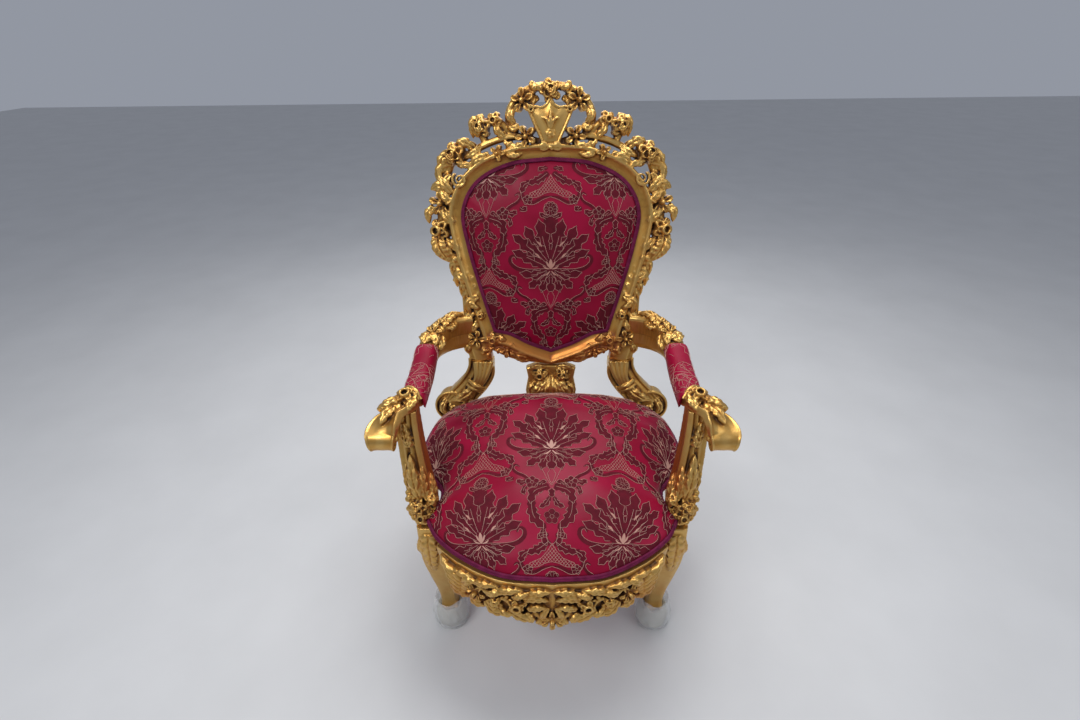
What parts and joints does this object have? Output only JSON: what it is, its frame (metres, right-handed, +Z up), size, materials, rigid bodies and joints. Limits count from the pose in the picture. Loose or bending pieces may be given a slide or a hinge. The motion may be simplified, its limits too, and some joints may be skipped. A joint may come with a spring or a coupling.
{
  "type": "throne armchair",
  "caption": "Carved giltwood throne armchair in the baroque manner, with a flower-garland crest, out-scrolled arms, damask back, seat and arm pads, and film-wrapped front feet.",
  "frame": {"origin": "centre of the chair's footprint at the floor", "axes": "+Z up, -Y towards the sitter's front, +X to the right as seen from the front"},
  "size_m": [0.8465, 0.801, 1.3347],
  "materials": {
    "giltwood": "carved wood under antiqued bright gold leaf, with dark glaze in the hollows and red-brown ground showing on the rails",
    "crimson_damask": "crimson satin ground with raised velvet figures edged in pale gold thread",
    "plum_braid": "plum woven gimp braid",
    "clear_film": "crumpled clear packing film over thin foam"
  },
  "bodies": {
    "root": {"back_frame": "giltwood", "back_splat": "giltwood", "rear_leg_left": "giltwood", "rear_leg_right": "giltwood", "front_leg_left": "giltwood", "front_leg_right": "giltwood", "front_rail": "giltwood", "side_rail_left": "giltwood", "side_rail_right": "giltwood", "back_rail": "giltwood", "arm_left": "giltwood", "arm_right": "giltwood", "arm_support_left": "giltwood", "arm_support_right": "giltwood", "seat_cushion": "crimson_damask", "back_pad": "crimson_damask", "back_cover": "crimson_damask", "arm_pad_left": "crimson_damask", "arm_pad_right": "crimson_damask", "seat_braid": "plum_braid", "back_braid": "plum_braid", "foot_wrap_left": "clear_film", "foot_wrap_right": "clear_film"}
  },
  "joints": []
}
